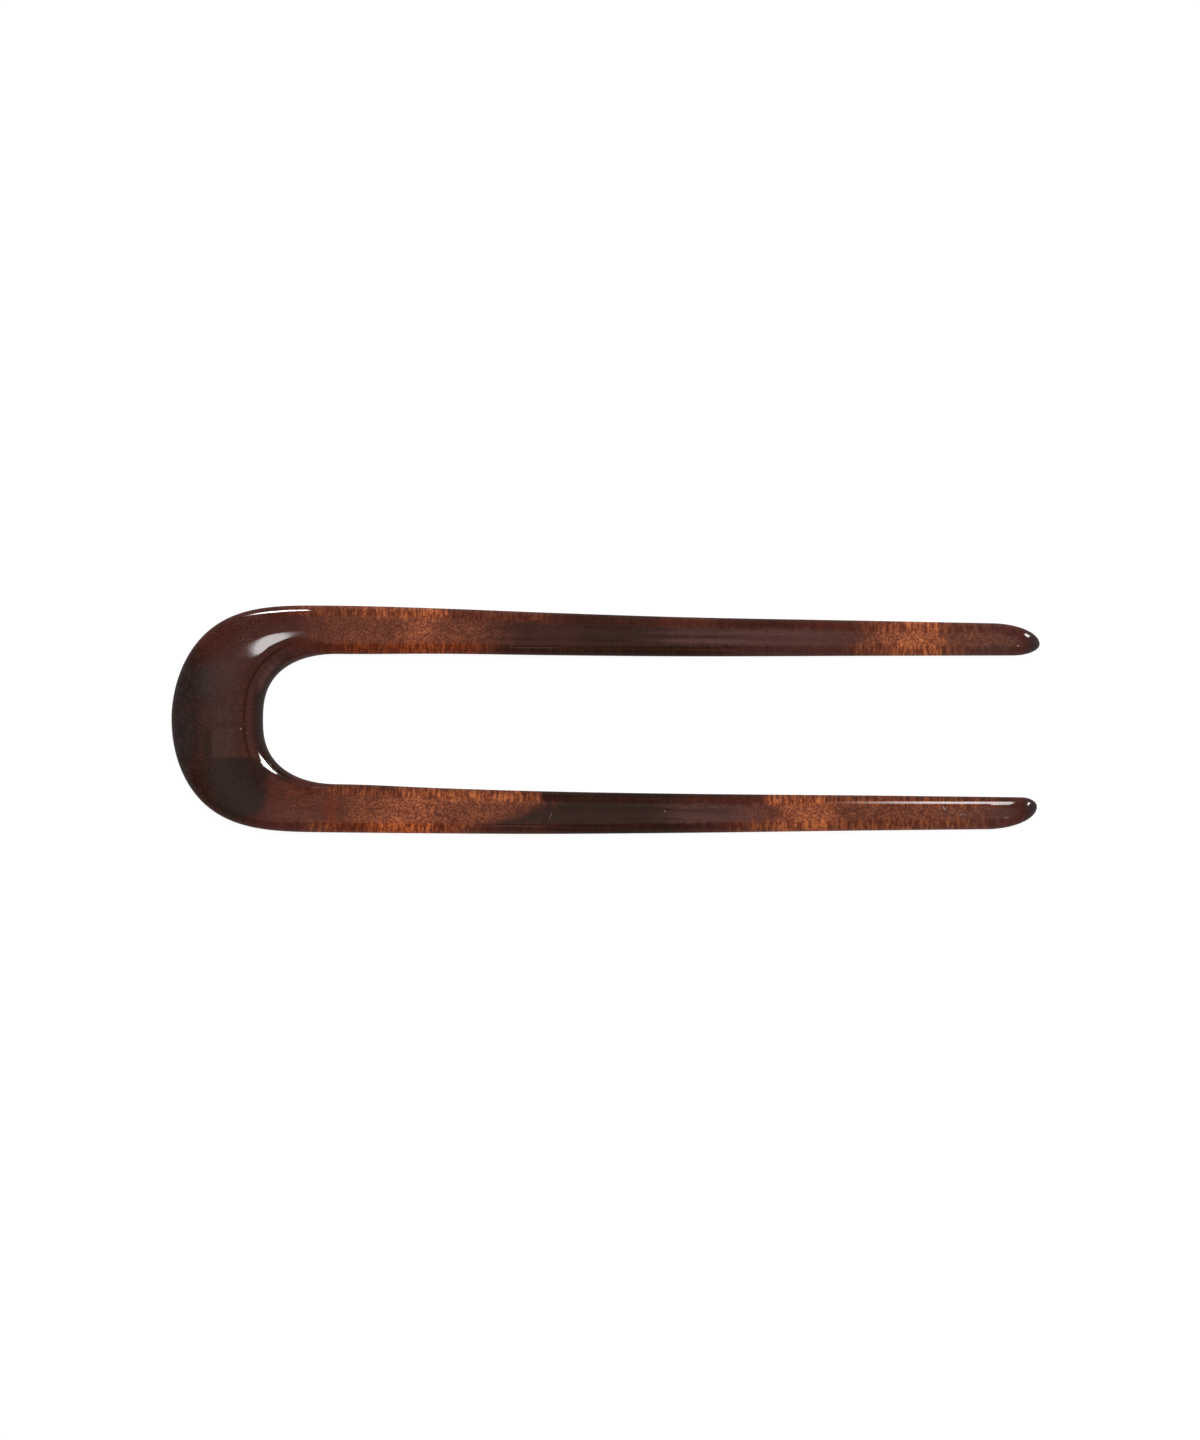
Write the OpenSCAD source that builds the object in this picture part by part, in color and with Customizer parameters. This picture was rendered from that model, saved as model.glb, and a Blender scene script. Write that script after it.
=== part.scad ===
// Two-prong hairpin, sawn from one sheet, rounded over along its edges and polished.
// It lies flat, crown towards -X and tips towards +X, with the origin under the middle of its box.

/* [Pin] */
// Length from the crown's outer edge to the longer tip
pin_length = 130; // [95:1:160]
// Width across both prongs, where the pin is widest
pin_width = 34; // [30:0.5:42]
// Thickness at the crown
thickness = 4.5; // [3.8:0.1:6]
// Thickness just before the tips
tip_thickness = 4; // [3.6:0.1:6]

/* [Bend] */
// Depth of the crown, from its outer edge to its inner edge
crown_depth = 13.7; // [9:0.1:15]
// Length of the bend, from the crown's outer edge to the roots of the prongs
bend_length = 25; // [22:0.5:30]
// Squareness of the outer edge along the pin, where 2 is an ellipse
outer_square = 3.8; // [2.2:0.1:4.6]
// Squareness of the inner edge along the pin
inner_square = 2.2; // [2:0.1:3.2]
// Squareness of the inner edge across the pin
inner_square_across = 2.6; // [2:0.1:3.2]

/* [Prongs] */
// Width of a prong at its root
root_width = 7.25; // [5.5:0.05:8.5]
// Width of a prong just before its tip
tip_width = 4.7; // [4:0.05:6]
// Share of the bows in the prongs that is kept, where 0 makes them straight
bow = 1; // [0:0.1:2]

/* [Edges] */
// Width of the rounding along the prongs and round the outer edge
edge_round = 1.5; // [1:0.05:1.6]
// Depth of that rounding
edge_depth = 1.05; // [0.6:0.05:1.5]
// Width of the rounding inside the crown
crown_round = 4.1; // [1.4:0.1:4.5]
// Depth of the rounding inside the crown
crown_round_depth = 2.9; // [1.4:0.1:3]
// Rounding along the underside
foot_round = 0.9; // [0.5:0.05:1]
// Slope of the prongs' top faces where their roundings begin, in degrees
prong_slope = 0.6; // [0.2:0.1:6]
// Slope of the crown's top face there, in degrees
crown_slope = 7; // [1:0.5:9]
// How much more steeply than the face the roundings of the prongs begin, in degrees
crease = 9; // [0:0.5:12]
// How much more steeply the wide rounding inside the crown begins, in degrees
crown_crease = 5; // [0:0.5:8]
// Length of the nose at the end of each prong, along which its top face falls
nose_length = 4; // [2:0.5:8]
// Fall of the top face at the end of the nose
nose_depth = 0.5; // [0:0.1:0.8]

/* [Hidden] */

half_width = pin_width / 2;
prong_length = pin_length - bend_length;
root_middle = half_width - root_width / 2;
hollow_length = bend_length - crown_depth;
bend_middle = [bend_length - pin_length / 2, 0];

// Columns: share of the way from root to tip, share of the narrowing done,
// shift of the upper prong's middle line away from the axis, and of the lower one's
PRONG = [
    [0, 0, 0, 0],
    [0.15, 0.18, -0.04, 0.21],
    [0.3, 0.34, -0.29, 0.32],
    [0.5, 0.54, -0.5, 0.2],
    [0.75, 0.77, -0.44, -0.12],
    [1, 1, -0.4, -0.38]
];

// Columns: side, column of its shift, squareness of its outer edge across the pin,
// shortfall of its tip, lean of its point towards the axis, outer and inner length of the tip's curve,
// how far round the bend the crown's wide rounding is full, as a cosine
UPPER = [1, 2, 1.9, 0, 0.65, 7, 4, 0.75];
LOWER = [-1, 3, 2, 0.15, 0.95, 7.5, 2.3, 1];

tip_rings = 12;
prong_rings = 18;
bend_rings = 48;
edge_steps = 6;
face_steps = 6;
foot_steps = 3;
search_steps = 8;

// The sheet hangs this far below the floor before its underside is cut flat
below = 0.25;
// Least height of plain wall that the roundings leave between them
least_wall = 0.2;

function mix(a, b, share) = a + (b - a) * share;

// Height of a quarter circle at a share of its width
function quarter(share) = sqrt(1 - pow(1 - min(share, 1), 2));

// Slope of a table's column at one row, level at the first row
function slope(table, column, row) =
    row == 0 ? 0 :
    let (next = min(row + 1, len(table) - 1), last = row - 1)
    (table[next][column] - table[last][column]) / (table[next][0] - table[last][0]);

// Smooth curve through a table's column
function curve(table, column, share, row = 0) =
    share > table[row + 1][0] && row + 2 < len(table) ? curve(table, column, share, row + 1) :
    let (
        span = table[row + 1][0] - table[row][0],
        t = (share - table[row][0]) / span,
        start = table[row][column],
        end = table[row + 1][column],
        start_slope = slope(table, column, row) * span,
        end_slope = slope(table, column, row + 1) * span
    )
    start + t * start_slope
        + pow(t, 2) * (3 * (end - start) - 2 * start_slope - end_slope)
        + pow(t, 3) * (2 * (start - end) + start_slope + end_slope);

// Distance from the bend's middle to the rounded-square edge (x/a)^p + (y/b)^q = 1, by Newton steps
function reach(x, y, a, b, p, q, guess, steps) =
    steps == 0 ? guess :
    let (
        along = pow(guess * x / a, p),
        across = pow(guess * y / b, q),
        next = guess - guess * (along + across - 1) / (p * along + q * across)
    )
    reach(x, y, a, b, p, q, next, steps - 1);

function edge_reach(angle, a, b, p, q) =
    let (x = abs(cos(angle)), y = abs(sin(angle)))
    reach(x, y, a, b, p, q, min(a / max(x, 0.001), b / max(y, 0.001)), search_steps);

// A station is [outer point, inner point, thickness, share of the wide rounding,
// share of the width on the point's outer side, distance before the tip, side]
function bend_station(angle) =
    let (
        side = angle < 180 ? UPPER : LOWER,
        ray = [cos(angle), sin(angle)],
        outer = edge_reach(angle, bend_length, half_width, outer_square, side[2]),
        inner = edge_reach(angle, hollow_length, half_width - root_width, inner_square, inner_square_across),
        turned = min(1, abs(cos(angle)) / side[7]),
        wide = pow(turned, 2) * (3 - 2 * turned)
    )
    [bend_middle + outer * ray, bend_middle + inner * ray, thickness, wide, 0.5, pin_length, side];

function prong_station(side, before_tip) =
    let (
        share = 1 - before_tip / (prong_length - side[3]),
        x = pin_length / 2 - side[3] - before_tip,
        middle = root_middle + bow * curve(PRONG, side[1], share),
        half = mix(root_width, tip_width, curve(PRONG, 1, share)) / 2,
        point = middle - side[4],
        outer = (middle + half - point) * quarter(before_tip / side[5]),
        inner = (point - middle + half) * quarter(before_tip / side[6])
    )
    [[x, side[0] * (point + outer)], [x, side[0] * (point - inner)], mix(thickness, tip_thickness, share), 0,
        outer / (outer + inner), before_tip, side];

// Distances before the tip, close together round the tip and even along the prong, root left out
function prong_places(side) = concat(
    [for (ring = [1:tip_rings]) side[5] * (1 - cos(90 * ring / tip_rings))],
    [for (ring = [1:prong_rings - 1]) mix(side[5], prong_length - side[3], ring / prong_rings)]
);

function mirrored_order(list) = [for (place = [len(list) - 1:-1:0]) list[place]];

// Distance in from the edge, across a side that is reach wide and whose tip curve has this length,
// to a point at a distance from the point's line
function inset(from_line, reach, length, before_tip) =
    let (
        ahead = max(0, 1 - before_tip / length),
        share = norm([ahead, from_line / reach])
    )
    share < 0.1 ? reach : max(0, 1 - share) * share / norm([ahead / length, from_line / pow(reach, 2)]);

// Fall of a rounding that is this wide and deep, at a distance in from its edge. It begins with a crease.
function fall(distance, width, depth, steeper = 0) =
    let (lip = width * tan(steeper), share = min(distance / width, 1))
    (depth - lip) * (1 - quarter(share)) + lip * (1 - share);

// Fall of the domed face, as a share of its rise, at a share of its half width from the middle
function dome(share) = share < 1 ? pow(share, 2) : 2 * share - 1;

// Ring round the section at a station, from the outer foot over the top to the inner foot and back
function section(station) =
    let (
        across = station[1] - station[0],
        width = norm(across),
        height = station[2],
        wide = station[3],
        split = station[4] * width,
        before_tip = station[5],
        side = station[6],
        outer_reach = split / quarter(before_tip / side[5]),
        inner_reach = (width - split) / quarter(before_tip / side[6]),
        inner_round = mix(edge_round, crown_round, wide),
        inner_crease = mix(crease, crown_crease, wide),
        face_start = min(edge_round, width / 3),
        face_end = width - min(inner_round, width / 3),
        half_face = (face_end - face_start) / 2,
        rise = tan(mix(prong_slope, crown_slope, wide)) * half_face / 2,
        brink = height - rise * dome((width - face_start) / half_face - 1),
        inner_depth = min(mix(edge_depth, crown_round_depth, wide), brink - foot_round - least_wall),
        nose_fall = nose_depth * pow(max(0, 1 - before_tip / nose_length), 2),
        foot = min(foot_round, width / 3),
        distance = function (place) place < split ?
            inset(split - place, outer_reach, side[5], before_tip) :
            inset(place - split, inner_reach, side[6], before_tip),
        edge = [for (step = [0:edge_steps]) 1 - cos(90 * step / edge_steps)],
        under = [for (step = [0:foot_steps]) foot * (1 - cos(90 * step / foot_steps))],
        top_places = concat(
            face_start * edge,
            [for (step = [1:face_steps - 1]) mix(face_start, face_end, step / face_steps)],
            [for (step = [edge_steps:-1:0]) width - (width - face_end) * edge[step]]
        ),
        foot_places = concat(
            [for (place = under) width - place],
            [for (step = [foot_steps:-1:0]) under[step]]
        ),
        top = [for (place = top_places)
            let (
                doming = rise * dome(abs((place - face_start) / half_face - 1)),
                rounding = place < split ?
                    fall(distance(place), edge_round, edge_depth, crease) :
                    fall(distance(place), inner_round, inner_depth, inner_crease)
            )
            [place, height - nose_fall - doming - rounding]],
        bottom = [for (place = foot_places)
            [place, fall(distance(place), foot_round, foot_round + below) - below]]
    )
    [for (p = concat(top, bottom))
        let (plan = station[0] + across * p[0] / width)
        [plan[0], plan[1], p[1]]];

// End of a tip, where its sections close
function tip_point(side) =
    let (station = prong_station(side, 0))
    [station[0][0], station[0][1], station[2] / 2];

module hairpin() {
    stations = concat(
        [for (before_tip = prong_places(UPPER)) prong_station(UPPER, before_tip)],
        [for (ring = [0:bend_rings]) bend_station(90 + 180 * ring / bend_rings)],
        [for (before_tip = mirrored_order(prong_places(LOWER))) prong_station(LOWER, before_tip)]
    );
    sections = [for (station = stations) section(station)];
    size = len(sections[0]);
    first = len(sections) * size;
    sides = [for (ring = [0:len(sections) - 2]) for (k = [0:size - 1])
        let (a = ring * size, next = (k + 1) % size)
        [a + k, a + next, a + size + next, a + size + k]];
    ends = concat(
        [for (k = [0:size - 1]) [first, (k + 1) % size, k]],
        [for (k = [0:size - 1]) [first + 1, first - size + k, first - size + (k + 1) % size]]
    );
    color("#5b2a19")
    difference() {
        polyhedron(
            points = concat([for (ring = sections) each ring], [tip_point(UPPER), tip_point(LOWER)]),
            faces = concat(sides, ends)
        );
        translate([-pin_length, -pin_width, -thickness])
            cube([2 * pin_length, 2 * pin_width, thickness]);
    }
}

hairpin();
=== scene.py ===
import bpy, math
from functools import reduce
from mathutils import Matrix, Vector


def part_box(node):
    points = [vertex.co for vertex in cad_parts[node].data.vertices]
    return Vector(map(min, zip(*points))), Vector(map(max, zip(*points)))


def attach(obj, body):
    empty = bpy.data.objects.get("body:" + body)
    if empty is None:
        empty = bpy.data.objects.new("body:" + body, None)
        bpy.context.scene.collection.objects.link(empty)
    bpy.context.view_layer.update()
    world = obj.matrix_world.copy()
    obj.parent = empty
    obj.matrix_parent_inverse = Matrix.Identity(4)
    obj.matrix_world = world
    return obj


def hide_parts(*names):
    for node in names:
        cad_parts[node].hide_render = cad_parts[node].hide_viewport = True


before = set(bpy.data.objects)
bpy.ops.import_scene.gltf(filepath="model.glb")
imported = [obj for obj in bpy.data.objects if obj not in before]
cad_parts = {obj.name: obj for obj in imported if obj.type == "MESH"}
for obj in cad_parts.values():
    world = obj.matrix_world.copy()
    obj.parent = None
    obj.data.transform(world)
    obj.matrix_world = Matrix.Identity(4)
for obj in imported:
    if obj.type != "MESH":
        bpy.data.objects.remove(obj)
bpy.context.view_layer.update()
low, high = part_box("hairpin")
mm = 0.001
print("frame loaded")


# One shader value. Sums and products of values add their own Math nodes.
class Signal:
    def __init__(self, tree, socket=None):
        self.tree = tree
        self.socket = socket

    # Settings go on the node first, then values or links into its sockets, by name or number
    def node(self, kind, settings, sockets, output=0):
        made = self.tree.nodes.new(kind)
        for name, value in settings.items():
            if name == "stops":
                ramp = made.color_ramp.elements
                while len(ramp) < len(value):
                    ramp.new(0.5)
                for stop, (position, colour) in zip(ramp, value):
                    stop.position = position
                    stop.color = (*colour, 1)
            else:
                setattr(made, name, value)
        for name, value in sockets.items():
            if isinstance(value, Signal):
                self.tree.links.new(value.socket, made.inputs[name])
            else:
                made.inputs[name].default_value = value
        return Signal(self.tree, made.outputs[output])

    def maths(self, operation, a, b):
        return self.node("ShaderNodeMath", {"operation": operation}, {0: a, 1: b})

    def __add__(self, other):
        return self.maths("ADD", self, other)

    def __radd__(self, other):
        return self.maths("ADD", other, self)

    def __sub__(self, other):
        return self.maths("SUBTRACT", self, other)

    def __rsub__(self, other):
        return self.maths("SUBTRACT", other, self)

    def __mul__(self, other):
        return self.maths("MULTIPLY", self, other)

    def __rmul__(self, other):
        return self.maths("MULTIPLY", other, self)

    def __pow__(self, other):
        return self.maths("POWER", self, other)

    # 0 below start, 1 above end, smooth between
    def step(self, start, end):
        return self.node("ShaderNodeMapRange", {"interpolation_type": "SMOOTHSTEP"},
                         {"Value": self, "From Min": start, "From Max": end})

    def largest(self, other):
        return self.maths("MAXIMUM", self, other)

    # One part, X, Y or Z, of a place or a direction
    def axis(self, letter):
        return self.node("ShaderNodeSeparateXYZ", {}, {0: self}, letter)

    # Colour a where this value is 0, colour b where it is 1
    def blend(self, a, b):
        return self.node("ShaderNodeMix", {"data_type": "RGBA"}, {0: self, 6: a, 7: b}, 2)


# The camera stands over the pin as in the photograph, which turns the pin a little clockwise
camera = {
    "height": 2.4,
    "turn": 0.6,                    # degrees
    "frameTall": 0.21585,           # what the tall side of the picture takes in, in metres
    "offset": (-0.00078, 0.00028),  # from above the pin's middle, along the picture's own sides
    "sensor": 36,                   # millimetres
}


def makeCamera(settings):
    data = bpy.data.cameras.new("camera")
    data.sensor_width = settings["sensor"]
    data.lens = settings["sensor"] * settings["height"] / settings["frameTall"]
    data.clip_end = 2 * settings["height"]
    holder = bpy.data.objects.new("camera", data)
    middle = (Vector(low) + Vector(high)) / 2
    turn = math.radians(settings["turn"])
    x, y = settings["offset"]
    shift = Vector((x * math.cos(turn) - y * math.sin(turn), x * math.sin(turn) + y * math.cos(turn), 0))
    holder.location = middle + shift + Vector((0, 0, settings["height"]))
    holder.rotation_euler = (0, 0, turn)
    bpy.context.collection.objects.link(holder)
    bpy.context.scene.camera = holder


# Where each light stands and what it points at, and its size, in metres, and its brightness. A light with
# no aim faces straight down. A shine shows only as a highlight, a fill only lights the surfaces. A spread,
# in degrees, narrows the beam. An outline gives a light another form than its rectangle: corners round its
# middle, in metres and counterclockwise as seen from behind the light, each with the width over which the
# side that starts there fades.
studioLights = {
    # the dot on each tip
    "keyTips": {"kind": "shine", "at": (0.326, 0.336, 0.193), "aim": (0.0635, 0, 0.003),
                "size": (0.075, 0.15), "radiance": 20},
    # the crescent inside the crown
    "keyCrown": {"kind": "shine", "at": (0.0503, 0.1021, 0.053), "aim": (-0.0503, -0.007, 0.003),
                 "size": (0.13, 0.06), "radiance": 5, "spread": 50,
                 "outline": [(-0.054, 0.004, 0.008), (-0.025, -0.014, 0.008), (0.036, -0.018, 0.008),
                             (0.036, -0.006, 0.008), (0, 0.017, 0.008), (-0.025, 0.015, 0.008)]},
    # the line on the upper shoulder
    "keyBack": {"kind": "shine", "at": (-0.0553, 0.0463, 0.0208), "aim": (-0.0503, 0.0205, 0.002),
                "size": (0.03, 0.02), "radiance": 2.2, "spread": 34,
                "outline": [(-0.0086, 0.0058, 0.001), (-0.0086, 0.0013, 0.002), (0.011, -0.008, 0.012),
                            (0.011, -0.005, 0.002), (0, 0.004, 0.0015)]},
    # the bright patch at the top of the crown
    "patch": {"kind": "shine", "at": (0.17, -0.46, 2.5), "size": (0.54, 0.84), "radiance": 13,
              "outline": [(-0.236, 0.348, 0.05), (-0.248, 0.33, 0.03), (-0.244, 0.13, 0.04),
                          (-0.19, -0.12, 0.04), (-0.04, -0.385, 0.03), (0.24, -0.385, 0.03),
                          (0.23, -0.23, 0.04), (0.12, -0.03, 0.04)]},
    # the strip beside the lower tip
    "edgeStrip": {"kind": "shine", "at": (0.0475, 0.00615, 0.02175), "aim": (0.0475, -0.0112, 0.004),
                  "size": (0.035, 0.017), "radiance": 1.6, "spread": 60,
                  "outline": [(-0.0157, 0.002, 0.0025), (-0.0157, -0.0052, 0.003), (-0.009, -0.0037, 0.003),
                              (0.005, 0, 0.022), (0.005, 0.0065, 0.003), (-0.008, 0.0047, 0.003)]},
    # a faint sheen over the whole face
    "veil": {"kind": "shine", "at": (0.05, -0.2, 3), "size": (1.9, 1.6), "radiance": 0.2,
             "outline": [(-0.6, 0.5, 0.6), (-0.6, -0.5, 0.6), (0.6, -0.5, 0.6), (0.6, 0.5, 0.6)]},
    # the light that shows the colours
    "softTop": {"kind": "fill", "at": (0.32, 0.56, 2.4), "aim": (0, 0, 0), "size": (2, 2), "radiance": 4},
}


def makeLight(name, settings):
    data = bpy.data.lights.new(name, "AREA")
    data.shape = "RECTANGLE"
    data.size, data.size_y = settings["size"]
    data.energy = settings["radiance"] * math.pi * data.size * data.size_y
    data.spread = math.radians(settings.get("spread", 180))
    if "outline" in settings:
        data.use_nodes = True
        start = Signal(data.node_tree)
        spot = start.node("ShaderNodeNewGeometry", {}, {}, "Parametric")
        x, y = [(spot.axis(letter) - 0.5) * reach for letter, reach in zip("XY", settings["size"])]
        strength = 1    # falls to 0 past each side of the outline
        corners = settings["outline"]
        for (ax, ay, soft), (bx, by, _) in zip(corners, corners[1:] + corners[:1]):
            depth = ((y - ay) * (bx - ax) - (x - ax) * (by - ay)) * (1 / math.dist((ax, ay), (bx, by)))
            strength = strength * depth.step(-soft / 2, soft / 2)
        data.node_tree.links.new(strength.socket, data.node_tree.nodes["Emission"].inputs["Strength"])
    lamp = bpy.data.objects.new(name, data)
    lamp.location = settings["at"]
    if "aim" in settings:
        away = Vector(settings["at"]) - Vector(settings["aim"])
        lamp.rotation_euler = away.to_track_quat("Z", "Y").to_euler()
    lamp.visible_camera = False
    lamp.visible_diffuse = settings["kind"] == "fill"
    lamp.visible_glossy = settings["kind"] == "shine"
    bpy.context.collection.objects.link(lamp)


# A round floor, in metres, whose rim curves up
floor = {
    "radius": 3,
    "rimHeight": 0.5,
    "rimWidth": 0.8,
    "rings": 24,
    "spacing": 1.5,     # power by which the rings widen outwards
    "spokes": 96,
    "paint": (0.2, 0.2, 0.2),
    "roughness": 0.9,
    "glow": 0.93,
}


def makeFloor(settings):
    points = [(0, 0, 0)]
    faces = []
    rings, spokes = settings["rings"], settings["spokes"]
    for ring in range(1, rings + 1):
        reach = settings["radius"] * (ring / rings) ** settings["spacing"]
        climb = max(0, (reach - settings["radius"] + settings["rimWidth"]) / settings["rimWidth"])
        height = settings["rimHeight"] * climb ** 2
        for spoke in range(spokes):
            angle = 2 * math.pi * spoke / spokes
            points.append((reach * math.cos(angle), reach * math.sin(angle), height))
    for spoke in range(spokes):
        following = (spoke + 1) % spokes
        faces.append((0, 1 + spoke, 1 + following))
        for ring in range(rings - 1):
            inner, outer = 1 + ring * spokes, 1 + (ring + 1) * spokes
            faces.append((inner + spoke, outer + spoke, outer + following, inner + following))
    mesh = bpy.data.meshes.new("floor")
    mesh.from_pydata(points, [], faces)
    mesh.shade_smooth()
    material = bpy.data.materials.new("floorPaint")
    material.use_nodes = True
    shader = material.node_tree.nodes["Principled BSDF"]
    shader.inputs["Base Color"].default_value = (*settings["paint"], 1)
    shader.inputs["Roughness"].default_value = settings["roughness"]
    shader.inputs["Specular IOR Level"].default_value = 0
    shader.inputs["Emission Color"].default_value = (1, 1, 1, 1)
    shader.inputs["Emission Strength"].default_value = settings["glow"]
    mesh.materials.append(material)
    ground = bpy.data.objects.new("floor", mesh)
    bpy.context.collection.objects.link(ground)
    ground.visible_glossy = False


# The room is dark overhead and paler towards the horizon
room = {
    "overhead": 0.03,
    "horizon": 0.3,
    "fade": 2.2,        # power by which the horizon's light fades upwards
}


def makeRoom(settings):
    world = bpy.data.worlds.new("room")
    world.use_nodes = True
    start = Signal(world.node_tree)
    direction = start.node("ShaderNodeTexCoord", {}, {}, "Generated")
    pale = (1 - direction.axis("Z").largest(0)) ** settings["fade"]
    grey = settings["overhead"] + pale * (settings["horizon"] - settings["overhead"])
    colour = start.node("ShaderNodeCombineColor", {}, {0: grey, 1: grey, 2: grey})
    background = world.node_tree.nodes["Background"]
    world.node_tree.links.new(colour.socket, background.inputs["Color"])
    bpy.context.scene.world = world


# Sizes of the pin in millimetres. Length, width and thickness come from the frame.
pin = {
    "crownDepth": 13.7,
    "bendLength": 25,
    "outerSquare": 3.8,
    "innerSquare": 2.2,
    "innerSquareAcross": 2.6,
    "rootWidth": 7.25,
    "tipWidth": 4.7,
    "tipThickness": 4,
    "edgeRound": 1.5,
    "edgeDepth": 1.05,
    "crownRound": 4.1,
    "crownRoundDepth": 2.9,
    "crease": 9,               # degrees by which the prongs' roundings start more steeply than the face
    "crownCrease": 5,
    "footRound": 0.9,
    "prongSlope": 0.6,         # degrees, where the face meets its roundings
    "crownSlope": 7,
    "noseLength": 4,
    "noseDepth": 0.5,
    # columns: share of the way from root to tip, share of the narrowing, shift of the upper prong's
    # middle line away from the axis, shift of the lower one's
    "prongs": [
        (0, 0, 0, 0),
        (0.15, 0.18, -0.04, 0.21),
        (0.3, 0.34, -0.29, 0.32),
        (0.5, 0.54, -0.5, 0.2),
        (0.75, 0.77, -0.44, -0.12),
        (1, 1, -0.4, -0.38),
    ],
    # side, column of its shift, squareness of its outer edge across the pin, shortfall of its tip, lean of
    # its point towards the axis, lengths of the tip's curve on the outer and inner side, and how far round
    # the bend the crown's wide rounding is full, as a cosine
    "upper": {"side": 1, "column": 2, "across": 1.9, "short": 0, "lean": 0.65,
              "outerTip": 7, "innerTip": 4, "roundReach": 0.75},
    "lower": {"side": -1, "column": 3, "across": 2, "short": 0.15, "lean": 0.95,
              "outerTip": 7.5, "innerTip": 2.3, "roundReach": 1},
    # how finely the surface is divided
    "tipRings": 40,
    "prongRings": 150,
    "bendRings": 260,
    "edgeSteps": 14,
    "faceSteps": 16,
    "footSteps": 8,
    "searchSteps": 8,          # rounds in which edgeReach closes in on an edge
    "tiny": 0.001,             # keeps divisions away from 0
    "level": 0.1,              # share of a tip's reach, round its point, in which the surface is level
}
pin["length"], pin["width"], pin["thickness"] = [(b - a) / mm for a, b in zip(low, high)]


def mix(a, b, share):
    return a + (b - a) * share


# Height of a quarter circle at a share of its width
def quarter(share):
    return math.sqrt(1 - (1 - min(share, 1)) ** 2)


# Smooth curve through one column of a table, level where it starts
def curveAt(table, column, share):
    row = 0
    while share > table[row + 1][0] and row + 2 < len(table):
        row += 1

    def slope(at):
        if at == 0:
            return 0
        after = min(at + 1, len(table) - 1)
        return (table[after][column] - table[at - 1][column]) / (table[after][0] - table[at - 1][0])

    span = table[row + 1][0] - table[row][0]
    t = (share - table[row][0]) / span
    start, end = table[row][column], table[row + 1][column]
    leave, arrive = slope(row) * span, slope(row + 1) * span
    return (start + t * leave + t ** 2 * (3 * (end - start) - 2 * leave - arrive)
            + t ** 3 * (2 * (start - end) + leave + arrive))


# Distance from the bend's middle to the edge (x/a)^p + (y/b)^q = 1
def edgeReach(angle, a, b, p, q):
    x, y = abs(math.cos(angle)), abs(math.sin(angle))
    reach = min(a / max(x, pin["tiny"]), b / max(y, pin["tiny"]))
    for _ in range(pin["searchSteps"]):
        along, across = (reach * x / a) ** p, (reach * y / b) ** q
        reach -= reach * (along + across - 1) / (p * along + q * across)
    return reach


# A station is outer point, inner point, thickness, share of the crown's wide rounding,
# share of the width on the outer side of the point's line, distance before the tip, side
def bendStation(angle):
    side = pin["upper"] if angle < math.pi else pin["lower"]
    half = pin["width"] / 2
    outer = edgeReach(angle, pin["bendLength"], half, pin["outerSquare"], side["across"])
    inner = edgeReach(angle, pin["bendLength"] - pin["crownDepth"], half - pin["rootWidth"],
                      pin["innerSquare"], pin["innerSquareAcross"])
    middle = pin["bendLength"] - pin["length"] / 2
    x, y = math.cos(angle), math.sin(angle)
    turned = min(1, abs(x) / side["roundReach"])
    wide = turned ** 2 * (3 - 2 * turned)
    outerPoint = (middle + outer * x, outer * y)
    innerPoint = (middle + inner * x, inner * y)
    return outerPoint, innerPoint, pin["thickness"], wide, 0.5, pin["length"], side


def prongStation(side, beforeTip):
    prongLength = pin["length"] - pin["bendLength"] - side["short"]
    share = 1 - beforeTip / prongLength
    x = pin["length"] / 2 - side["short"] - beforeTip
    middle = (pin["width"] - pin["rootWidth"]) / 2 + curveAt(pin["prongs"], side["column"], share)
    half = mix(pin["rootWidth"], pin["tipWidth"], curveAt(pin["prongs"], 1, share)) / 2
    point = middle - side["lean"]
    outer = (middle + half - point) * quarter(beforeTip / side["outerTip"])
    inner = (point - middle + half) * quarter(beforeTip / side["innerTip"])
    height = mix(pin["thickness"], pin["tipThickness"], share)
    split = outer / max(outer + inner, pin["tiny"])
    outerPoint = (x, side["side"] * (point + outer))
    innerPoint = (x, side["side"] * (point - inner))
    return outerPoint, innerPoint, height, 0, split, beforeTip, side


# Shares of the way from 0 to 1, close together at the start, as along a quarter circle
def closeSteps(count):
    return [1 - math.cos(math.pi / 2 * step / count) for step in range(count + 1)]


# Distances before the tip, close together round the tip and even along the prong, root left out
def prongPlaces(side):
    rings = pin["prongRings"]
    prongLength = pin["length"] - pin["bendLength"] - side["short"]
    nearTip = [side["outerTip"] * share for share in closeSteps(pin["tipRings"])[1:]]
    return nearTip + [mix(side["outerTip"], prongLength, ring / rings) for ring in range(1, rings)]


# Distance in from the edge to a point at a distance from the point's line, on a side that is
# reach wide and whose tip curve has this length
def inset(fromLine, reach, length, beforeTip):
    ahead = max(0, 1 - beforeTip / length)
    share = math.hypot(ahead, fromLine / reach)
    if share < pin["level"]:
        return reach
    return (1 - share) * share / math.hypot(ahead / length, fromLine / reach ** 2)


# Fall of a rounding below the face, at a distance in from its edge, where lip is the part due to its crease
def fall(distance, width, depth, lip=0):
    share = min(max(distance, 0) / width, 1)
    return (depth - lip) * (1 - quarter(share)) + lip * (1 - share)


# Fall of the domed face, as a share of its rise, at a share of its half width from the middle
def dome(share):
    return share ** 2 if share < 1 else 2 * share - 1


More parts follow.
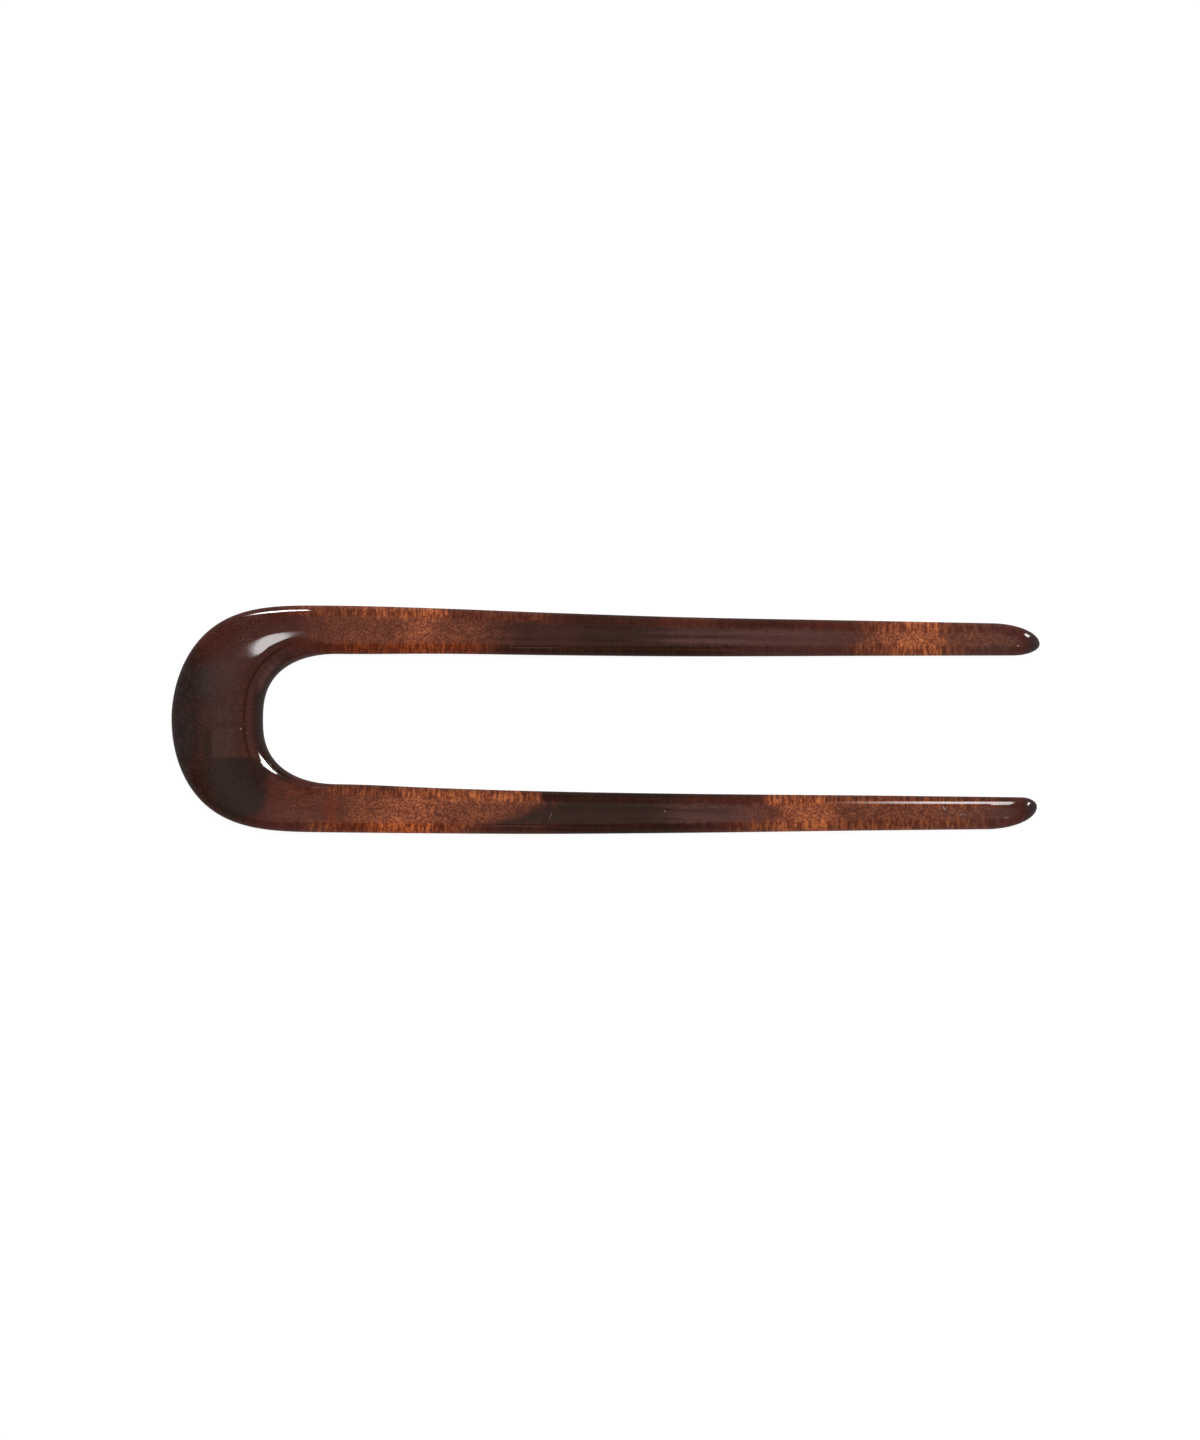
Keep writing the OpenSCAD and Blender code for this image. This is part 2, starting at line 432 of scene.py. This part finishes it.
# Closed ring round a station: each point's place, and its distances from the outer and the inner edge
def section(station):
    outer, inner, height, wide, split, beforeTip, side = station
    width = math.dist(outer, inner)
    split *= width
    outerReach = split / quarter(beforeTip / side["outerTip"])
    innerReach = (width - split) / quarter(beforeTip / side["innerTip"])
    innerRound = mix(pin["edgeRound"], pin["crownRound"], wide)
    innerDepth = mix(pin["edgeDepth"], pin["crownRoundDepth"], wide)
    edgeLip = pin["edgeRound"] * math.tan(math.radians(pin["crease"]))
    innerLip = innerRound * math.tan(math.radians(mix(pin["crease"], pin["crownCrease"], wide)))
    third = width / 3    # the most that a rounding takes up
    faceStart = min(pin["edgeRound"], third)
    faceEnd = width - min(innerRound, third)
    halfFace = (faceEnd - faceStart) / 2
    rise = math.tan(math.radians(mix(pin["prongSlope"], pin["crownSlope"], wide))) * halfFace / 2
    flats = pin["faceSteps"]
    edge = closeSteps(pin["edgeSteps"])
    under = [min(pin["footRound"], third) * share for share in closeSteps(pin["footSteps"])]
    top = [faceStart * share for share in edge]
    top += [mix(faceStart, faceEnd, step / flats) for step in range(1, flats)]
    top += [width - (width - faceEnd) * share for share in reversed(edge)]
    bottom = [width - place for place in under] + under[::-1]
    bow = pin["noseDepth"] * max(0, 1 - beforeTip / pin["noseLength"]) ** 2
    ring = []
    for number, place in enumerate(top + bottom):
        if place < split:
            distance = inset(split - place, outerReach, side["outerTip"], beforeTip)
            rounding = fall(distance, pin["edgeRound"], pin["edgeDepth"], edgeLip)
        else:
            distance = inset(place - split, innerReach, side["innerTip"], beforeTip)
            rounding = fall(distance, innerRound, innerDepth, innerLip)
        if number < len(top):
            z = height - rise * dome(abs((place - faceStart) / halfFace - 1)) - rounding - bow
        else:
            z = fall(distance, pin["footRound"], pin["footRound"])
        x, y = mix(outer[0], inner[0], place / width), mix(outer[1], inner[1], place / width)
        ring.append(((x * mm, y * mm, z * mm), place, width - place))
    return ring


def makePin():
    upper, lower, turns = pin["upper"], pin["lower"], pin["bendRings"]
    stations = [prongStation(upper, place) for place in prongPlaces(upper)]
    stations += [bendStation(math.pi / 2 + math.pi * turn / turns) for turn in range(turns + 1)]
    stations += [prongStation(lower, place) for place in reversed(prongPlaces(lower))]
    rings = [section(station) for station in stations]
    size = len(rings[0])
    points = [spot[0] for ring in rings for spot in ring]
    fromOuter = [spot[1] for ring in rings for spot in ring]
    fromInner = [spot[2] for ring in rings for spot in ring]
    along = []
    travel, last = 0, None
    for outer, inner, *_ in stations:
        middle = [(p + q) / 2 for p, q in zip(outer, inner)]
        travel += math.dist(last or middle, middle)
        last = middle
        along += [travel] * size
    faces = []
    for ring in range(len(rings) - 1):
        for k in range(size):
            a, following = ring * size, (k + 1) % size
            faces.append((a + k, a + size + k, a + size + following, a + following))
    # each tip closes in a fan of triangles
    for side, first in ((upper, 0), (lower, len(points) - size)):
        tip = prongStation(side, 0)
        points.append((tip[0][0] * mm, tip[0][1] * mm, tip[2] / 2 * mm))
        for values in (fromOuter, fromInner, along):
            values.append(values[first])
        hub = len(points) - 1
        for k in range(size):
            a, b = first + k, first + (k + 1) % size
            faces.append((hub, a, b) if side is upper else (hub, b, a))
    mesh = bpy.data.meshes.new("pinBody")
    mesh.from_pydata(points, [], faces)
    for name, values in (("fromOuter", fromOuter), ("fromInner", fromInner), ("along", along)):
        mesh.attributes.new(name, "FLOAT", "POINT").data.foreach_set("value", values)
    mesh.shade_smooth()
    # the lines where the roundings meet the face stay sharp
    creases = (pin["edgeSteps"], pin["edgeSteps"] + pin["faceSteps"])
    ends = [tuple(edge.vertices) for edge in mesh.edges]
    sharp = [abs(a - b) == size and a % size in creases for a, b in ends]
    mesh.attributes.new("sharp_edge", "BOOLEAN", "EDGE").data.foreach_set("value", sharp)
    body = bpy.data.objects.new("pinBody", mesh)
    bpy.context.collection.objects.link(body)
    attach(body, "root")
    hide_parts("hairpin")
    return body


# Colours and marks of the acetate. Places are in millimetres from the middle of the pin. A softness reaches
# to either side of an edge, in millimetres, or as a share of its size for a spot. A strength of 1 covers
# what lies below.
shell = {
    "red": (0.096, 0.0245, 0.0165),
    "dark": (0.029, 0.012, 0.007),
    "black": (0.034, 0.0175, 0.013),
    "smoke": (0.08, 0.037, 0.029),
    "ash": (0.04, 0.029, 0.027),
    "ember": (0.22, 0.028, 0.006),
    # the colour of the painted sheen
    "sheenTaupe": (0.12, 0.052, 0.042),
    "pale": (0.45, 0.36, 0.31),
    # colours of the amber's grain, from its shadows to its sparks
    "amber": [(0, (0.205, 0.049, 0.024)), (0.5, (0.355, 0.09, 0.036)), (1, (0.56, 0.168, 0.057))],
    "redder": (1, 0.66, 0.4),   # what the colour of a red rim is multiplied by
    "middleLine": 13.3,         # distance of the prongs' middle lines from the axis
    "parting": (-1, 1),         # across the pin, where the lower prong's zones end and the upper one's begin
    "rim": (1.1, 2.1),          # in from the edge, where a rim begins to fade into the face, and its end
    "rimWander": 2.8,           # how far noise moves those two places
    "brink": (0.35, 0.9),       # the same two places for the brink of the inner edge
    # noises of the pattern: features in a millimetre, detail and roughness
    "noises": {
        "grain": (3.1, 2, 0.65),
        "mottle": (0.8, 2, 0.5),
        "bars": (2.4, 3, 0.6),
        "streaks": (1, 2, 0.5),
        "wander": (1.1, 2, 0.5),
        "sparkle": (6, 1, 0.5),
        "haze": (3.5, 2, 0.6),
    },
    # noises that shift places: features in a millimetre, detail, and reach in millimetres
    "drifts": {
        "broad": (0.22, 3, 3),
        "fine": (1.6, 3, 0.9),
        "straight": (1.3, 2, 0.35),
        "haze": (3, 1, 2),
    },
    "acrossRim": 0.2,                # how fast the bars change across a rim, as a share of that along it
    "streakScale": (0.035, 1.3, 1),  # draws the streaks out along the prongs
    # values of a noise at which the marks that it makes begin, and are full
    "flecks": (0.36, 0.66),
    "barEdges": (0.41, 0.6),
    "streakEdges": (0.34, 0.64),
    "crownFlecks": (0.4, 0.66),
    "sparkleEdges": (0.6, 0.7),
    # what a pattern gives where it is at its least, and what it adds to that where it is at its most
    "barFlecks": (-0.24, 0.5),
    "speck": (0.13, 0.75),
    "darkStreaks": (0.75, 0.3),
    "crownGrain": (1.1, -0.45),
    "emberGrain": (0.5, 0.5),
    "sheenStreaks": (0.75, 0.5),
    "shade": (0.8, 0.4),
    "mottle": 0.9,          # contrast of the mottling, and of the streaks in the dark zones
    "streakShade": 0.9,
    # zones: prong, lane, start, end, softness of each, lean of each, strength. A lean is how far that end
    # shifts along the prong in a millimetre across it.
    "amberZones": [
        ("upper", "outer", -47, -36, 4, 2, 0, 0, 0.34),
        ("upper", "outer", -37.5, -23.8, 4, 0.25, 0, 0, 0.8),
        ("upper", "outer", -23.8, -9, 0.3, 2, 0, 0, 0.14),
        ("upper", "outer", 39.5, 45, 3, 1, 0, 0, 0.5),
        ("upper", "outer", 44.5, 49.7, 0.8, 0.3, 0, 0, 1),
        ("upper", "outer", 49.7, 54, 0.3, 5, 0, 0, 0.34),
        ("upper", "face", -43, -17, 4, 5, 0, 0, 0.34),
        ("upper", "face", -31.5, -24.5, 3.5, 3, 0, 0, 0.8),
        ("upper", "face", 40.2, 51, 5.2, 2, 0, 0, 1),
        ("upper", "face", 51, 59, 1, 5, 0, 0, 0.38),
        ("upper", "inner", -40, -17.5, 4, 3, 0, 0, 0.34),
        ("upper", "inner", -33, -22.5, 2.5, 2, 0, 0, 0.6),
        ("upper", "inner", 37, 53, 2, 4, 0, 0, 0.46),
        ("upper", "inner", 42, 50.5, 3, 1.5, 0, 0, 1),
        ("lower", "outer", -44, -20, 2, 3, 0, 0, 0.45),
        ("lower", "outer", -35.5, -25, 2, 1.5, 0, 0, 1),
        ("lower", "outer", 20, 25.5, 2.5, 2, 0, 0, 0.5),
        ("lower", "outer", 25.2, 33.6, 1.4, 0.3, 0, 0, 1),
        ("lower", "outer", 33.6, 56, 0.3, 5, 0, 0, 0.44),
        ("lower", "face", -49, -38.8, 3, 1, 0, 0, 0.15),
        ("lower", "face", -39, -12.5, 2, 4.5, 0, -2.2, 0.48),
        ("lower", "face", -34, -23.5, 3.5, 3, 0, -1, 0.95),
        ("lower", "face", 21, 25.5, 3, 2, 0, 0, 0.22),
        ("lower", "face", 26.5, 35, 2.5, 2, 0, 0, 1),
        ("lower", "face", 33.5, 57, 1, 4, 0, 0, 0.34),
        ("lower", "inner", -42, -30, 3, 1, 0, 0, 0.42),
        ("lower", "inner", -31.5, -12, 1.5, 1.5, 0, 0, 0.95),
        ("lower", "inner", -12, -9.5, 1, 0.25, 0, 0, 0.6),
        ("lower", "inner", 24.2, 33.3, 1, 0.3, 0, 0, 1),
        ("lower", "inner", 33.3, 57, 0.3, 4, 0, 0, 0.5),
    ],
    "darkZones": [
        ("upper", "outer", -7, 8, 3, 1.5, 0, 0, 0.65),
        ("upper", "outer", 16, 30, 2, 3, 0, 0, 0.45),
        ("upper", "face", -17, 20, 5, 4, 0, 0, 0.62),
        ("upper", "face", -6, 11, 4, 3, 0, 0, 0.86),
        ("upper", "face", 20, 30, 3, 4, 0, 0, 0.2),
        ("upper", "inner", -17, 20, 3, 4, 0, 0, 0.72),
        ("upper", "inner", -8, 14.5, 3, 4, 0, 0, 0.85),
        ("upper", "inner", 18, 30, 2, 3, 0, 0, 0.42),
        ("lower", "outer", -16, 17, 3, 3, 0, 0, 0.45),
        ("lower", "outer", -9, 13, 4, 3, 0, 0, 0.9),
        ("lower", "face", -10.4, 12, 3.4, 3, -2.4, 0, 0.98),
        ("lower", "face", 10, 19, 2, 3, 0, 0, 0.45),
        ("lower", "inner", -9.5, 12, 0.3, 4, 0, 0, 0.9),
        ("lower", "inner", 11, 18, 1, 3, 0, 0, 0.35),
    ],
    # rims where the amber is redder, and the darker brink of the lower prong's inner edge
    "redRims": [
        ("upper", "inner", -44, -18, 4, 3, 0, 0, 0.8),
        ("lower", "outer", -41, -22, 3, 3, 0, 0, 0.55),
    ],
    "brinks": [("lower", "brink", -44, 61, 3, 1, 0, 0, 0.35)],
    # painted reflection: where a bright band mirrored in the face makes the red-brown paler and greyer
    "sheenZones": [
        ("upper", "outer", 50, 61, 4, 2, 0, 0, 0.25),
        ("upper", "face", 8, 37, 7, 5, 0, 0, 0.55),
        ("upper", "face", 50, 61.5, 4, 2, 0, 0, 0.5),
        ("upper", "inner", 20, 38, 8, 3, 0, 0, 0.3),
        ("upper", "inner", 50, 61.5, 4, 2, 0, 0, 0.6),
        ("lower", "outer", 48, 61, 5, 2, 0, 0, 0.4),
        ("lower", "face", 10, 24, 5, 3, 0, 0, 0.5),
        ("lower", "face", 50, 61.5, 4, 2, 0, 0, 0.45),
    ],
    # spots: place, half length and half width, turn in degrees, softness, strength
    "crownDark": [
        (-57, 8, 10, 9, 20, 0.7, 0.35),
        (-61.3, -3, 7, 14, 0, 0.6, 0.75),
        (-63, 1, 3.6, 12, 0, 0.5, 0.95),
        (-57.5, -13, 6, 3.5, -25, 0.5, 0.75),
        (-59, -9.5, 4, 5, 0, 0.5, 0.95),
    ],
    "smokeSpots": [
        (-57.8, 6.3, 2.8, 2.4, 0, 0.6, 0.55),
        (-57.5, 1, 2.4, 2.5, 0, 0.8, 0.5),
    ],
    # grey spots: the long one down the crown's left edge is a painted reflection of the room's paler horizon
    "ashAndReflectionSpots": [
        (-64.2, -1, 2.2, 12, 0, 0.7, 0.7),
        (-60.5, 6, 2.2, 2.6, 20, 0.6, 0.6),
    ],
    # panels of the crown: left, right, bottom and top edge, softness of each, strength
    "darkPanel": (-60.2, -58.9, -6.2, -1.5, 0.35, 0.15, 0.7, 0.5, 0.9),
    "smokePanel": (-58.8, -55.2, -6, -1.6, 0.15, 1.2, 0.3, 0.25, 0.6),
    # painted glints: fine pale points on the upper shoulder
    "sparkles": [
        (-53.4, 14.4, 2.2, 1.3, 15, 0.7, 0.35),
        (-53.8, 11.3, 0.8, 1.6, 20, 0.7, 0.5),
    ],
    # the dark spot at the lower end of the crown, and where it is cut off straight
    "blob": [(-54.7, -10.2, 4.3, 4.9, 0, 0.17, 0.95)],
    "blobTop": (-6.05, -5.65),
    "emberPatch": [(-41, -13.4, 1.1, 2.1, 0, 0.6, 0.6)],
    # bands along the inner edge of the crown, in from that edge: start, end, softness, strength
    "lipDark": [(-1, 1.55, 0.55, 1)],
    "lipLine": [(2.65, 2.95, 0.12, 0.8)],
    "lipSmoke": [(1.8, 2.5, 0.25, 0.6), (3.1, 4.1, 0.2, 0.5)],
    # painted sheen: a paler, greyer band along part of the crown's inner edge
    "lipSheen": [(0.8, 1.8, 0.3, 1)],
    "lipEnd": (-49, -45),      # where the bands begin to fade towards the prongs, and where they end
    "lipLineStart": (-8, -5),  # across the pin, where the thin line begins, and is full
    # where the painted sheen band lies on the edge
    "lipGlow": [(-50.4, 6.4, 2.2, 2.6, 0, 0.6, 0.8)],   # the part of the edge that has the taupe band
    # chips and scratches, and painted highlights: the two long thin lines along the prongs' ridges and the
    # faint second streak inside the crown's lower bend
    "paleMarksAndGlints": [
        (-54.6, -1.6, 0.1, 0.1, 0, 0.5, 0.9),
        (-54.1, -0.9, 0.07, 0.07, 0, 0.5, 0.6),
        (-53.7, -2.2, 0.07, 0.09, 0, 0.5, 0.5),
        (-55.1, 1.4, 0.06, 0.08, 0, 0.5, 0.5),
        (50.9, -12.4, 0.42, 0.1, -55, 0.5, 0.75),
        (53.6, -13.3, 0.4, 0.09, 5, 0.5, 0.4),
        (9.1, -13.3, 0.12, 0.12, 0, 0.5, 0.5),
        (-8, -14.1, 0.6, 0.05, 70, 0.5, 0.3),
        (-49.8, -7.7, 1.7, 0.06, -37, 0.5, 0.25),
        (-11, 10.98, 4.2, 0.05, 0.6, 0.5, 0.16),
        (-13.4, -15.74, 5.1, 0.05, 0.6, 0.5, 0.16),
    ],
    "tips": (61.9, 64.4),      # where the dark ends of the prongs begin, and are full
    "tipAsh": 0.85,
    "haze": (-53.4, -51.6),    # where the less polished part of the crown begins to fade, and where it ends
    "hazeFace": (3.6, 4.6),    # in from the inner edge, where it begins, and is full
    "polish": 0.04,            # roughness of the polished surface, and of the haze
    "hazy": 0.06,
    "hazeGrain": 1.2e-6,       # height of the haze's fine grain, in metres
    "ior": 1.48,
}


def makeShell():
    material = bpy.data.materials.new("tortoiseshell")
    material.use_nodes = True
    tree = material.node_tree
    shader = tree.nodes["Principled BSDF"]
    start = Signal(tree)

    def colour(name):
        return (*shell[name], 1)

    def vector(operation, sockets, output=0):
        return start.node("ShaderNodeVectorMath", {"operation": operation}, sockets, output)

    def noise(at, scale, detail, rough=0.5, output=0):
        sockets = {"Vector": at, "Scale": scale, "Detail": detail, "Roughness": rough}
        return start.node("ShaderNodeTexNoise", {}, sockets, output)

    def pattern(at, name):
        return noise(at, *shell["noises"][name])

    def shifted(at, name):
        scale, detail, reach = shell["drifts"][name]
        drift = vector("SUBTRACT", {0: noise(at, scale, detail, output="Color"), 1: (0.5, 0.5, 0.5)})
        return vector("MULTIPLY_ADD", {0: drift, 1: (reach,) * 3, 2: at})

    # The least value of a row where the mask is 0, and its gain added where the mask is 1
    def varied(mask, name):
        least, gain = shell[name]
        return least + mask * gain

    # 1 between two places and 0 past them, where each place has its own softness
    def stretch(at, begin, end, soft, softEnd):
        return at.step(begin - soft, begin + soft) * (1 - at.step(end - softEnd, end + softEnd))

    def strongest(parts):
        return reduce(Signal.largest, parts)

    def spots(at, name):
        parts = []
        for x, y, length, width, turn, soft, strength in shell[name]:
            local = start.node("ShaderNodeMapping", {"vector_type": "TEXTURE"},
                               {"Vector": at, "Location": (x, y, 0), "Rotation": (0, 0, math.radians(turn)),
                                "Scale": (length, width, 1000)})   # so long that a spot goes right through
            far = vector("LENGTH", {0: local}, "Value")
            parts.append((1 - far.step(1 - soft, 1 + soft)) * strength)
        return strongest(parts)

    metres = start.node("ShaderNodeTexCoord", {}, {}, "Object")
    place = vector("SCALE", {0: metres, "Scale": 1 / mm})
    moved = shifted(shifted(place, "broad"), "fine")
    x, y = moved.axis("X"), moved.axis("Y")
    straightX, straightY = shifted(place, "straight").axis("X"), place.axis("Y")
    fromOuter, fromInner, along = [start.node("ShaderNodeAttribute", {"attribute_name": name}, {}, "Fac")
                                   for name in ("fromOuter", "fromInner", "along")]
    wander = (pattern(place, "wander") - 0.5) * shell["rimWander"]
    outerRim = 1 - (fromOuter + wander).step(*shell["rim"])
    innerRim = 1 - (fromInner + wander).step(*shell["rim"])
    rim = outerRim.largest(innerRim)
    above = y.step(*shell["parting"])
    sides = {"upper": above, "lower": 1 - above}
    lanes = {"outer": outerRim, "inner": innerRim, "face": 1 - rim,
             "brink": 1 - fromInner.step(*shell["brink"])}
    lateral = start.maths("ABSOLUTE", y, 0) - shell["middleLine"]    # outwards from the prong's middle line

    # Zones follow a prong's lane: the face's edges drift, those of the rims stay nearly straight
    def zones(name):
        rows = shell[name]
        parts = []
        for side, lane in sorted({row[:2] for row in rows}):
            at = x if lane == "face" else straightX
            reaches = []
            here = [row[2:] for row in rows if row[:2] == (side, lane)]
            for begin, end, soft, softEnd, lean, leanEnd, strength in here:
                begun = (at - lateral * lean).step(begin - soft, begin + soft)
                ended = (at - lateral * leanEnd).step(end - softEnd, end + softEnd)
                reaches.append(begun * (1 - ended) * strength)
            parts.append(strongest(reaches) * sides[side] * lanes[lane])
        return reduce(Signal.__add__, parts)

    def bands(name):
        return strongest([stretch(fromInner, begin, end, soft, soft) * strength
                          for begin, end, soft, strength in shell[name]])

    def panel(name):
        left, right, bottom, top, softLeft, softRight, softBottom, softTop, strength = shell[name]
        across = stretch(straightX, left, right, softLeft, softRight)
        return across * stretch(straightY, bottom, top, softBottom, softTop) * strength

    grain = pattern(place, "grain")
    flecks = grain.step(*shell["flecks"])
    slow = shell["acrossRim"]
    acrossRim = start.node("ShaderNodeCombineXYZ", {},
                           {"X": along, "Y": fromOuter * slow, "Z": place.axis("Z") * slow})
    bars = pattern(acrossRim, "bars").step(*shell["barEdges"]) + varied(flecks, "barFlecks")
    mottle = (pattern(place, "mottle") - 0.5) * shell["mottle"]
    speck = varied(flecks * (1 - rim) + bars * rim, "speck") + mottle
    drawn = vector("MULTIPLY", {0: place, 1: shell["streakScale"]})
    streaks = pattern(drawn, "streaks").step(*shell["streakEdges"])

    dim = zones("darkZones")
    crownDark = spots(moved, "crownDark") * varied(grain.step(*shell["crownFlecks"]), "crownGrain")
    dark = strongest([dim * varied(streaks, "darkStreaks"), crownDark, panel("darkPanel")])
    lip = 1 - x.step(*shell["lipEnd"])

    base = start.node("ShaderNodeClamp", {}, {"Value": dark}).blend(colour("red"), colour("dark"))
    base = spots(moved, "smokeSpots").blend(base, colour("smoke"))
    # painted reflection along the crown's left edge, and a greyer spot on the crown
    base = spots(moved, "ashAndReflectionSpots").blend(base, colour("ash"))
    base = panel("smokePanel").blend(base, colour("smoke"))
    base = (bands("lipSmoke") * lip).blend(base, colour("smoke"))
    base = (bands("lipDark") * lip).blend(base, colour("dark"))
    lipLine = bands("lipLine") * lip * straightY.step(*shell["lipLineStart"])
    base = lipLine.blend(base, colour("dark"))
    # painted sheen: a paler, greyer band along part of the crown's inner edge
    base = (bands("lipSheen") * spots(place, "lipGlow")).blend(base, colour("sheenTaupe"))
    blob = spots(moved, "blob") * (1 - straightY.step(*shell["blobTop"]))
    base = blob.blend(base, colour("black"))
    base = (spots(moved, "emberPatch") * varied(speck, "emberGrain")).blend(base, colour("ember"))
    # painted reflection: a paler, greyer sheen over the faces, streaked along the prongs
    base = (zones("sheenZones") * varied(streaks, "sheenStreaks")).blend(base, colour("sheenTaupe"))
    amber = start.node("ShaderNodeValToRGB", {"stops": shell["amber"]}, {0: speck})
    base = zones("amberZones").blend(base, amber)
    base = zones("redRims").blend(base, vector("MULTIPLY", {0: base, 1: shell["redder"]}))
    base = zones("brinks").blend(base, colour("dark"))
    base = (straightX.step(*shell["tips"]) * shell["tipAsh"]).blend(base, colour("ash"))
    shade = varied(speck, "shade") + (streaks - 0.5) * dim * shell["streakShade"]
    base = vector("SCALE", {0: base, "Scale": shade})
    # pale chips and scratches, and painted highlight lines
    base = spots(place, "paleMarksAndGlints").blend(base, colour("pale"))
    # painted glints, speckled by a fine noise
    sparkle = pattern(place, "sparkle").step(*shell["sparkleEdges"])
    base = (spots(place, "sparkles") * sparkle).blend(base, colour("pale"))
    tree.links.new(base.socket, shader.inputs["Base Color"])

    haze = 1 - shifted(moved, "haze").axis("X").step(*shell["haze"])
    haze = haze * fromInner.step(*shell["hazeFace"])
    roughness = shell["polish"] + haze * (shell["hazy"] - shell["polish"])
    tree.links.new(roughness.socket, shader.inputs["Roughness"])
    bump = start.node("ShaderNodeBump", {}, {"Strength": 1, "Distance": shell["hazeGrain"],
                                             "Height": pattern(place, "haze") * haze})
    tree.links.new(bump.socket, shader.inputs["Normal"])
    shader.inputs["IOR"].default_value = shell["ior"]
    return material


makeCamera(camera)
for name, settings in studioLights.items():
    makeLight(name, settings)
makeFloor(floor)
print("studio set up")

body = makePin()
body.data.materials.append(makeShell())
print("pin made", len(body.data.polygons), "faces")

makeRoom(room)
bpy.context.scene.view_settings.view_transform = "Standard"
